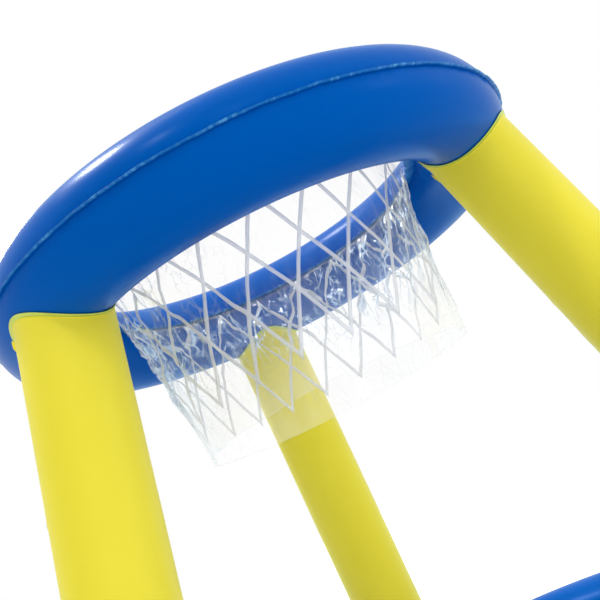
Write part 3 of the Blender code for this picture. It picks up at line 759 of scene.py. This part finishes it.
def collar_mesh(name, leg, prefix):
    """The saddle-shaped weld lip between a leg and a ring, with a rounded outer edge."""
    top, bottom, along, side, cross = leg_frame(leg)
    ring = RINGS[prefix]
    start, direction = (top, along) if prefix == "hoop" else (bottom, -along)
    turns = np.linspace(0, 2 * math.pi, LEG_STEPS, endpoint=False)
    ray = np.cos(turns)[:, None] * side + np.sin(turns)[:, None] * cross
    foot = seats(start + (LEG_RADIUS + LEG_FLARE) * ray, direction, ring, COLLAR_SEAT)

    def outwards(points):
        """The nearest points of the ring's centreline, and the directions from them."""
        flat = points[:, :2] / np.linalg.norm(points[:, :2], axis=1)[:, None] * ring["radius"]
        centre = np.column_stack([flat, np.full(len(points), ring["height"])])
        return centre, (points - centre) / np.linalg.norm(points - centre, axis=1)[:, None]

    run = np.roll(foot, -1, 0) - np.roll(foot, 1, 0)
    away = np.cross(run, outwards(foot)[1])
    away /= np.linalg.norm(away, axis=1)[:, None]
    away *= np.sign(((foot - start) * away).sum(1))[:, None]
    lip = COLLAR_LIP + wave_noise(turns, len(name), LIP_COUNTS, LIP_WAVE)

    def edge(width, offset):
        centre, unit = outwards(foot + np.broadcast_to(width, len(foot))[:, None] * away)
        return centre + unit * (ring["tube"] + offset)

    low, high = COLLAR_SEAT, COLLAR_SEAT + COLLAR_THICKNESS
    rows = [edge(-COLLAR_INSET, low), edge(lip - LIP_BEVEL, low), edge(lip, low + LIP_BEVEL),
            edge(lip, high - LIP_BEVEL), edge(lip - LIP_BEVEL, high), edge(-COLLAR_INSET, high)]
    mesh = grid_mesh(name, rows, close_rows=True)
    turn_outwards(mesh)
    return mesh


def make_legs(look, lip_look):
    for seed, name in enumerate(LEGS, FIRST_SEED):
        finish_piece(f"leg_{name}_skin", leg_mesh(name, seed), look, [f"leg_{name}"])
        for end, prefix in (("top", "hoop"), ("base", "base")):
            piece = f"leg_{name}_{end}_collar"
            mesh = collar_mesh(piece, name, prefix)
            finish_piece(f"{piece}_lip", mesh, lip_look, [piece])


# The net

NET_FILM = 0.0003
COLUMN_WIDTH = 2 * math.pi * NET_BODY_RADIUS / LATTICE_COLUMNS
FILM_COLUMNS = 560
FILM_ROWS = 80
STRAND_THICKNESS = 0.0002
STRAND_LIFT = 0.0005
STRAND_STEPS = 20
STRAND_MERGE = STRAND_WIDTH / 50
STAGGER = 0.5  # of a column, in every other row
FILM_SHARP = 12
STRAND_SHARP = 60
CRUMPLED = (  # azimuth, spread, share, the depths where the film calms down, and the share left
    (5, 38, 1.0, 0.060, 0.112, 0.20),
    (50, 26, 1.0, 0.056, 0.100, 0.10),
    (95, 26, 1.0, 0.040, 0.076, 0.02),
    (138, 24, 0.85, 0.040, 0.082, 0.06),
    (187, 36, 1.0, 0.076, 0.128, 0.28),
)
LEAST_CRUMPLED = 0.04
CRUMPLE_TOP = 0.014
HANG_TOP = 0.001
HANG_LENGTH = 0.005
# Where the film turns hazy, and where the painted glow comes in with it.
HAZE_AND_PAINTED_GLOW_DEPTHS = (0.070, 0.140)


def net_azimuth(column):
    """The azimuth of a place round the net, counted in lattice columns."""
    plain = np.radians(LATTICE_START_TURN + 360 * np.asarray(column, float) / LATTICE_COLUMNS)
    return plain + math.radians(NET_DRIFT_TURN) * np.sin(plain)


def bell(azimuth, centre, spread):
    """1 at an azimuth, and less away from it."""
    off = (np.degrees(azimuth) - centre + 180) % 360 - 180
    return np.exp(-((off / spread) ** 2))


def crumple_amount(azimuth, depth):
    """How crumpled the film is, from 0 to 1: most at the sides and the back, less at the hem."""
    total = LEAST_CRUMPLED
    for centre, spread, share, start, end, left in CRUMPLED:
        lower = np.clip((depth - start) / (end - start), 0, 1)
        calmer = 1 - (1 - left) * lower * lower * (3 - 2 * lower)
        total = total + share * bell(azimuth, centre, spread) * calmer
    return np.clip(total, 0, 1) * np.clip(depth / CRUMPLE_TOP, 0, 1)


def net_surface(column, depth, lift):
    """Points of the film's middle surface, by lattice column and depth under the weld strip."""
    column, depth = np.broadcast_arrays(np.asarray(column, float), np.asarray(depth, float))
    azimuth = net_azimuth(column)
    share = np.maximum(0, (depth - LATTICE_TOP) / (NET_DEPTH - LATTICE_TOP))
    top_radius = NET_BODY_RADIUS + NET_TOP_FLARE
    upper = FIN_EDGE + (top_radius - FIN_EDGE) * np.clip(depth / LATTICE_TOP, 0, 1)
    body = upper - NET_TOP_FLARE * np.clip((depth - LATTICE_TOP) / LATTICE_ROW_DEPTH, 0, 1)
    waves = sum(part * np.cos(count * azimuth + math.radians(start)) for count, start, part in FOLD_WAVES)
    sides = sum(bell(azimuth, centre, SIDE_FOLD_TURN) for centre in SIDE_FOLD_AZIMUTHS)
    out = share * (FOLD_DEPTH * waves - SIDE_FOLD_DEPTH * sides) + lift
    strip = CLEARANCE / 2 + FILM + CLEARANCE + FILM / 2
    return np.stack([
        (body - NET_HEM_DRAWN_IN[0] * share + out) * np.cos(azimuth),
        (body - NET_HEM_DRAWN_IN[1] * share + out) * np.sin(azimuth),
        RINGS["hoop"]["height"] - strip - depth,
    ], -1)


def film_crumples():
    """Crumples a net piece outwards, sideways and down, by its stored flat place and crumple amount."""
    group, given, out = new_group("film crumples", "GeometryNodeTree", [
        ("Geometry", "Geometry", None),
        ("Large Height", "Float", 0.0060),
        ("Small Height", "Float", 0.0020),
        ("Sideways", "Float", 0.0085),
        ("Down", "Float", 0.0060),
        ("Material", "Material", None),
    ], [("Geometry", "Geometry")])
    flat = shape(group, "InputNamedAttribute", {"Name": "flat"}, "Attribute", data_type="FLOAT_VECTOR")
    amount = shape(group, "InputNamedAttribute", {"Name": "crumple"}, "Attribute", data_type="FLOAT")
    outwards = vector_maths(group, "NORMALIZE", level(group, flat))
    sideways = vector_maths(group, "CROSS_PRODUCT", outwards, (0, 0, 1))
    patterns = {
        "Large Height": (LARGE_FACETS, LARGE_SHIFT),
        "Small Height": (SMALL_FACETS, SMALL_SHIFT),
        "Sideways": (LARGE_FACETS, 2 * LARGE_SHIFT),
        "Down": (LARGE_FACETS, 3 * LARGE_SHIFT),
    }
    large, small, across, down = (
        product(group, facet_height(group, flat, *pattern), given[key]) for key, pattern in patterns.items()
    )
    pushed = scaled(group, outwards, maths(group, "ADD", large, small))
    slid = vector_maths(group, "ADD", scaled(group, sideways, across), combine(group, Z=down))
    shift = scaled(group, vector_maths(group, "ADD", pushed, slid), amount)
    moved = shape(group, "SetPosition", {"Geometry": given["Geometry"], "Offset": shift})
    dress(group, moved, given["Material"], out)
    return group


def crumple(name, mesh, places, azimuth, depth, group, look):
    """Stores a net piece's flat places and amounts, and crumples it."""
    azimuth, depth = np.ravel(azimuth), np.ravel(depth)
    haze_and_glow_start, haze_and_glow_full = HAZE_AND_PAINTED_GLOW_DEPTHS
    stored = (
        ("flat", "FLOAT_VECTOR", "vector", np.ravel(places)),
        ("crumple", "FLOAT", "value", crumple_amount(azimuth, depth)),
        ("hang", "FLOAT", "value", np.clip((depth - HANG_TOP) / HANG_LENGTH, 0, 1)),
        # Haze and painted glow share this mask, which grows towards the hem.
        ("haze_and_painted_glow", "FLOAT", "value", np.clip((depth - haze_and_glow_start) / (haze_and_glow_full - haze_and_glow_start), 0, 1)),
    )
    for label, kind, key, values in stored:
        mesh.attributes.new(label, kind, "POINT").data.foreach_set(key, values.astype(np.float32))
    return shape_from_nodes(name, group, {"Material": look}, mesh)


def net_film_mesh(group, look):
    """The skirt with the strip that is welded under the hoop ring's inner fin."""
    columns = np.arange(FILM_COLUMNS) * LATTICE_COLUMNS / FILM_COLUMNS
    depths = np.concatenate([[0.0, LATTICE_TOP / 2], np.linspace(LATTICE_TOP, NET_DEPTH, FILM_ROWS)])
    rows = [net_surface(columns, depth, 0) for depth in depths]
    unit = rows[0][:, :2] / np.linalg.norm(rows[0][:, :2], axis=1)[:, None]
    rows.insert(0, np.column_stack([unit * (FIN_EDGE + NET_STRIP), rows[0][:, 2]]))
    azimuth = np.tile(net_azimuth(columns), (len(rows), 1))
    depth = np.repeat([0.0, *depths], FILM_COLUMNS)
    return crumple("net_film", grid_mesh("net_film", rows), rows, azimuth, depth, group, look)


def lattice_nodes():
    """Sets a flat piece out in staggered rows, and merges the meeting points."""
    group, given, out = new_group("lattice rows", "GeometryNodeTree", [
        ("Piece", "Object", None),
        ("Columns", "Int", LATTICE_COLUMNS),
        ("Rows", "Int", LATTICE_ROWS),
        ("Column Width", "Float", COLUMN_WIDTH),
        ("Row Depth", "Float", LATTICE_ROW_DEPTH),
        ("First Depth", "Float", LATTICE_TOP),
        ("First Shift", "Int", 0),
        ("Merge Distance", "Float", STRAND_MERGE),
        ("Print", "Material", None),
    ], [("Geometry", "Geometry")])
    across_step = combine(group, X=given["Column Width"])
    down_step = combine(group, Y=given["Row Depth"])
    across = shape(group, "MeshLine", {"Count": given["Columns"], "Offset": across_step}, "Mesh")
    down = shape(group, "MeshLine", {"Count": given["Rows"], "Offset": down_step}, "Mesh")
    index = shape(group, "InputIndex", {}, "Index")
    odd = maths(group, "MODULO", maths(group, "ADD", index, given["First Shift"]), 2.0)
    shift = product(group, odd, STAGGER, given["Column Width"])
    stagger = combine(group, X=shift, Y=given["First Depth"])
    rows = shape(group, "SetPosition", {"Geometry": down, "Offset": stagger})
    places = shape(group, "InstanceOnPoints", {"Points": rows, "Instance": across}, "Instances")
    spots = shape(group, "RealizeInstances", {"Geometry": places})
    piece = shape(group, "ObjectInfo", {"Object": given["Piece"]}, transform_space="ORIGINAL")
    copies = shape(group, "InstanceOnPoints", {"Points": spots, "Instance": piece}, "Instances")
    whole = shape(group, "RealizeInstances", {"Geometry": copies})
    merged = shape(group, "MergeByDistance", {"Geometry": whole, "Distance": given["Merge Distance"]})
    dress(group, merged, given["Print"], out)
    return group


def flat_piece(name, points, faces):
    """A helper mesh in the XY plane."""
    piece = add_object(name, bpy.data.meshes.new(name))
    piece.data.from_pydata([(x, y, 0) for x, y in points], [], faces)
    return piece


def lattice_cells():
    """Two flat helper pieces: a crossing with the two strands under it, and a bare crossing."""
    slant = math.atan2(COLUMN_WIDTH / 2, LATTICE_ROW_DEPTH)
    half_across = STRAND_WIDTH / 2 / math.cos(slant)
    half_down = STRAND_WIDTH / 2 / math.sin(slant)
    knot = {"up": (0, -half_down), "right": (half_across, 0),
            "down": (0, half_down), "left": (-half_across, 0)}
    points = list(knot.values())
    faces = [(0, 1, 3), (1, 2, 3)]
    knot_piece = flat_piece("lattice knot", points, faces)
    count = STRAND_STEPS + 1
    for side in (1, -1):
        end = np.array((side * COLUMN_WIDTH / 2, LATTICE_ROW_DEPTH))
        near_keys = ("right", "down") if side > 0 else ("down", "left")
        far_keys = ("up", "left") if side > 0 else ("right", "up")
        first = len(points)
        for near_key, far_key in zip(near_keys, far_keys):
            points += np.linspace(knot[near_key], end + knot[far_key], count).tolist()
        for k in range(first, first + STRAND_STEPS):
            faces.append((k, k + 1, k + count + 1, k + count))
    return flat_piece("lattice cell", points, faces), knot_piece


def stretched_depth(depth):
    """Draws the lattice's last row out, so that its tips reach their own depth."""
    last = LATTICE_TOP + (LATTICE_ROWS - 1) * LATTICE_ROW_DEPTH
    return np.where(depth > last, last + (depth - last) * (LATTICE_TIP - last) / LATTICE_ROW_DEPTH, depth)


def net_lattice_mesh(group, look):
    """The flat lattice from its cells, wrapped round the film and crumpled with it."""
    array = lattice_nodes()
    cell, knot = lattice_cells()
    upper = shape_from_nodes("lattice rows", array, {"Piece": cell, "Print": look})
    tips = shape_from_nodes("lattice tips", array, {
        "Piece": knot, "Print": look, "Rows": 1, "First Shift": LATTICE_ROWS % 2,
        "First Depth": LATTICE_TOP + LATTICE_ROWS * LATTICE_ROW_DEPTH,
    })
    for item in (cell, knot):
        bpy.data.objects.remove(item)
    maker = bmesh.new()
    for part in (upper, tips):
        maker.from_mesh(part)
    flat = np.array([v.co for v in maker.verts])
    column, depth = flat[:, 0] / COLUMN_WIDTH, stretched_depth(flat[:, 1])
    for vertex, point in zip(maker.verts, net_surface(column, depth, STRAND_LIFT)):
        vertex.co = point
    kept = maker.verts.layers.float_vector.new("drawn")
    azimuth = net_azimuth(column)
    for vertex, place in zip(maker.verts, zip(np.cos(azimuth), np.sin(azimuth), depth)):
        vertex[kept] = place
    bmesh.ops.remove_doubles(maker, verts=maker.verts[:], dist=STRAND_MERGE)
    bmesh.ops.recalc_face_normals(maker, faces=maker.faces[:])
    drawn = np.array([vertex[kept] for vertex in maker.verts])
    mesh = bpy.data.meshes.new("net_lattice")
    maker.to_mesh(mesh)
    maker.free()
    places = np.empty(3 * len(mesh.vertices), np.float32)
    mesh.vertices.foreach_get("co", places)
    azimuth = np.arctan2(drawn[:, 1], drawn[:, 0])
    return crumple("net_lattice", mesh, places, azimuth, drawn[:, 2], group, look)


def make_net(film_look, print_look):
    group = film_crumples()
    film = finish_piece("net_film_skirt", net_film_mesh(group, film_look), film_look,
                        ["net_film"], NET_FILM, FILM_SHARP)
    lattice = finish_piece("net_lattice_print", net_lattice_mesh(group, print_look), print_look,
                           ["net_lattice"], STRAND_THICKNESS, STRAND_SHARP)


# The valves, which keep their CAD shapes

VALVE_BODIES = {"flange": None, "stem": "stem", "plug": "plug", "strap": "plug", "flap": "flap"}
FIRM_KINDS = ("flange", "stem")
CORNER_MERGE = 1e-6
FLAT_TURN = 1
ANY_SHAPE = 180
EDGE_ROUNDING = 0.00025
ROUNDING_STEPS = 2
ROUNDED_TURN = 40
FINER_STEPS = 2


def join_faces(mesh):
    """Joins a CAD mesh's split corners, and its triangles into quads."""
    maker = bmesh.new()
    maker.from_mesh(mesh)
    bmesh.ops.remove_doubles(maker, verts=maker.verts[:], dist=CORNER_MERGE)
    bmesh.ops.join_triangles(maker, faces=maker.faces[:], angle_face_threshold=math.radians(FLAT_TURN),
                             angle_shape_threshold=math.radians(ANY_SHAPE))
    maker.to_mesh(mesh)
    maker.free()


def dress_valves(firm, soft):
    for prefix in RINGS:
        for kind, body in VALVE_BODIES.items():
            name = f"{prefix}_valve_{kind}"
            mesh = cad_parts[name].data.copy()
            join_faces(mesh)
            mesh.materials.clear()
            mesh.materials.append(firm if kind in FIRM_KINDS else soft)
            item = add_object(f"{name}_skin", mesh)
            rounding = item.modifiers.new("rounded edges", "BEVEL")
            rounding.width = EDGE_ROUNDING
            rounding.segments = ROUNDING_STEPS
            rounding.limit_method = "ANGLE"
            rounding.angle_limit = math.radians(ROUNDED_TURN)
            item.modifiers.new("finer rounds", "SUBSURF").render_levels = FINER_STEPS
            mesh.shade_smooth()
            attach(item, f"{prefix}_valve_{body}" if body else "inflated_frame")
            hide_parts(name)


# The studio

WORLD_LEVEL = 0.80
WORLD_LEAN = (0.42, 0.36, 0.0)  # the room's light is stronger from this side
REFLECTED_WHITE = (0.82, 0.93, 1.0)  # the room and the floor as reflections show them
REFLECTED_FLOOR = (0.42, 0.62, 0.72)
FLOOR_SIZE = 6.0
FLOOR_TONES = ((0.66, 0.67, 0.68), (0.70, 0.71, 0.72))
FLOOR_ROUGHNESS = 0.8
FLOOR_SPECULAR = 0.1
FLOOR_CLOUD_SCALE = 3.0
FLOOR_GLOW = 0.55  # what the camera and reflections see on top of its own light
SOFTBOXES = {  # azimuth from +X towards +Y and elevation in degrees, distance, size and radiance
    "top softbox": (131, 67, 5.2, (0.66, 0.66), 110.0),
    "glow softbox": (138, 70, 5.4, (3.6, 2.4), 1.6),
    "streak softbox": (236, 60, 5.2, (0.30, 0.70), 60.0),
    "back softbox": (104, 32, 6.0, (0.8, 0.8), 12.0),
    "right softbox": (-15, 10, 6.0, (3.0, 1.8), 0.8),
    "front softbox": (272, 10, 6.0, (4.0, 2.6), 1.35),
    "high front lamp": (276, 44, 6.0, (0.9, 0.9), 10.0),
    "low front lamp": (325, 6, 5.0, (1.2, 1.2), 5.0),
}


def seen_directly(tree):
    """1 for what the camera, a reflection or clear material shows, and 0 for the light on surfaces."""
    path = node(tree, "ShaderNodeLightPath")
    through = maths(tree, "MAXIMUM", path.outputs["Is Glossy Ray"], path.outputs["Is Transmission Ray"])
    return maths(tree, "MAXIMUM", path.outputs["Is Camera Ray"], through)


def make_floor():
    mesh = bpy.data.meshes.new("floor")
    corners = [(x * FLOOR_SIZE, y * FLOOR_SIZE, 0) for x, y in ((-1, -1), (1, -1), (1, 1), (-1, 1))]
    mesh.from_pydata(corners, [], [(0, 1, 2, 3)])
    made, tree, shader = new_material("pale floor")
    cloud = noise(tree, node(tree, "ShaderNodeTexCoord").outputs["Object"], FLOOR_CLOUD_SCALE)
    tone = blend_colours(tree, cloud, *FLOOR_TONES)
    reflected = node(tree, "ShaderNodeLightPath").outputs["Is Glossy Ray"]
    set_inputs(tree, shader, {
        "Base Color": blend_colours(tree, reflected, tone, REFLECTED_FLOOR),
        "Emission Color": blend_colours(tree, reflected, WHITE, REFLECTED_FLOOR),
        "Emission Strength": product(tree, seen_directly(tree), FLOOR_GLOW),
        "Roughness": FLOOR_ROUGHNESS,
        "Specular IOR Level": FLOOR_SPECULAR,
    })
    mesh.materials.append(made)
    add_object("floor", mesh)


def make_world():
    """A plain white room: white where it is seen, cool in reflections, and leaning to one side as light."""
    world = bpy.data.worlds.new("studio")
    world.use_nodes = True
    tree = world.node_tree
    reflected = node(tree, "ShaderNodeLightPath").outputs["Is Glossy Ray"]
    way = node(tree, "ShaderNodeTexCoord").outputs["Generated"]
    lean = vector_number(tree, "DOT_PRODUCT", way, WORLD_LEAN)
    light = maths(tree, "MULTIPLY_ADD", lean, WORLD_LEVEL, WORLD_LEVEL)
    seen = seen_directly(tree)
    unseen = product(tree, maths(tree, "SUBTRACT", 1.0, seen), light)
    set_inputs(tree, tree.nodes["Background"], {
        "Color": blend_colours(tree, reflected, WHITE, REFLECTED_WHITE),
        "Strength": maths(tree, "ADD", seen, unseen),
    })
    bpy.context.scene.world = world


def softbox(name, azimuth, elevation, distance, size, radiance):
    """An area lamp that faces the hoop."""
    data = bpy.data.lights.new(name, "AREA")
    data.shape = "RECTANGLE"
    data.size, data.size_y = size
    data.energy = radiance * math.pi * size[0] * size[1]
    item = add_object(name, data)
    a, e = math.radians(azimuth), math.radians(elevation)
    way = Vector((math.cos(a) * math.cos(e), math.sin(a) * math.cos(e), math.sin(e)))
    item.location = way * distance + Vector((0, 0, RINGS["hoop"]["height"]))
    item.rotation_mode = "QUATERNION"
    item.rotation_quaternion = way.to_track_quat("Z", "Y")


def make_studio():
    make_floor()
    make_world()
    for name, values in SOFTBOXES.items():
        softbox(name, *values)
    bpy.context.scene.view_settings.view_transform = "Standard"


make_camera()
grain = vinyl_grain()
blue = weld_beads_and_painted_glints(*vinyl("blue_film", grain))
yellow, lip, firm, soft = (
    vinyl(name, grain)[0] for name in ("yellow_film", "yellow_lip", "valve_plastic", "plug_plastic")
)

sheets = make_rings(blue)
make_legs(yellow, lip)
make_net(clear_film(), printed_white(grain))
dress_valves(firm, soft)
make_studio()
